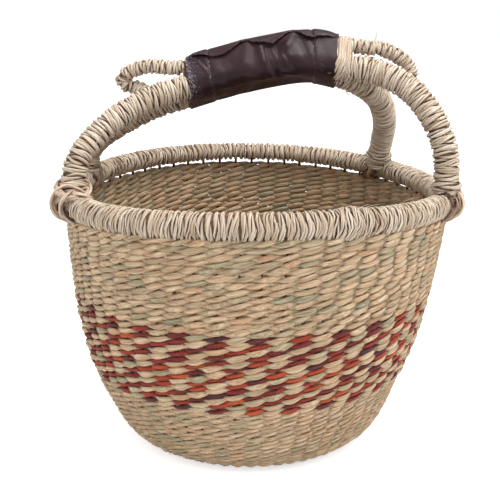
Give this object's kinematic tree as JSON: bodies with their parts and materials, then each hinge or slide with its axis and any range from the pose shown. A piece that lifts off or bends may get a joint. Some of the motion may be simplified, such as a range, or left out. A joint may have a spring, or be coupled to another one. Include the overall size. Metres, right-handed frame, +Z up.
{
  "type": "picnic basket",
  "caption": "Round flared picnic basket twined from dried grass, with a bound rim, a band of red and natural stitches, and an arched, wrapped handle with curled ends and a leather grip.",
  "frame": {"origin": "middle of the underside of the flat base", "axes": "+Z up out of the mouth, -Y towards the viewer of the picture, +X to the viewer's right, the side that the rim leans to"},
  "size_m": [0.2948, 0.2872, 0.2998],
  "materials": {
    "grass_weave": "matte",
    "coloured_weave": "matte",
    "pale_wrapping": "matte",
    "inner_rods": "matte",
    "grip_leather": "satin",
    "thread": "matte"
  },
  "bodies": {
    "root": {"base_weave": "grass_weave", "lower_wall_weave": "grass_weave", "colour_band_weave": "coloured_weave", "upper_wall_weave": "grass_weave", "rim_core_and_stakes": "inner_rods", "rim_wrapping": "pale_wrapping", "front_right_foot_lashing": "pale_wrapping", "back_right_foot_lashing": "pale_wrapping", "back_left_foot_lashing": "pale_wrapping", "front_left_foot_lashing": "pale_wrapping", "front_arch_core": "inner_rods", "back_arch_core": "inner_rods", "front_left_leg_wrapping": "pale_wrapping", "front_right_leg_wrapping": "pale_wrapping", "back_left_leg_wrapping": "pale_wrapping", "back_right_leg_wrapping": "pale_wrapping", "curl_rod_core": "inner_rods", "left_curl_wrapping": "pale_wrapping", "right_curl_wrapping": "pale_wrapping", "grip_binding": "inner_rods", "leather_grip": "grip_leather", "left_end_stitching": "thread", "right_end_stitching": "thread"}
  },
  "joints": []
}
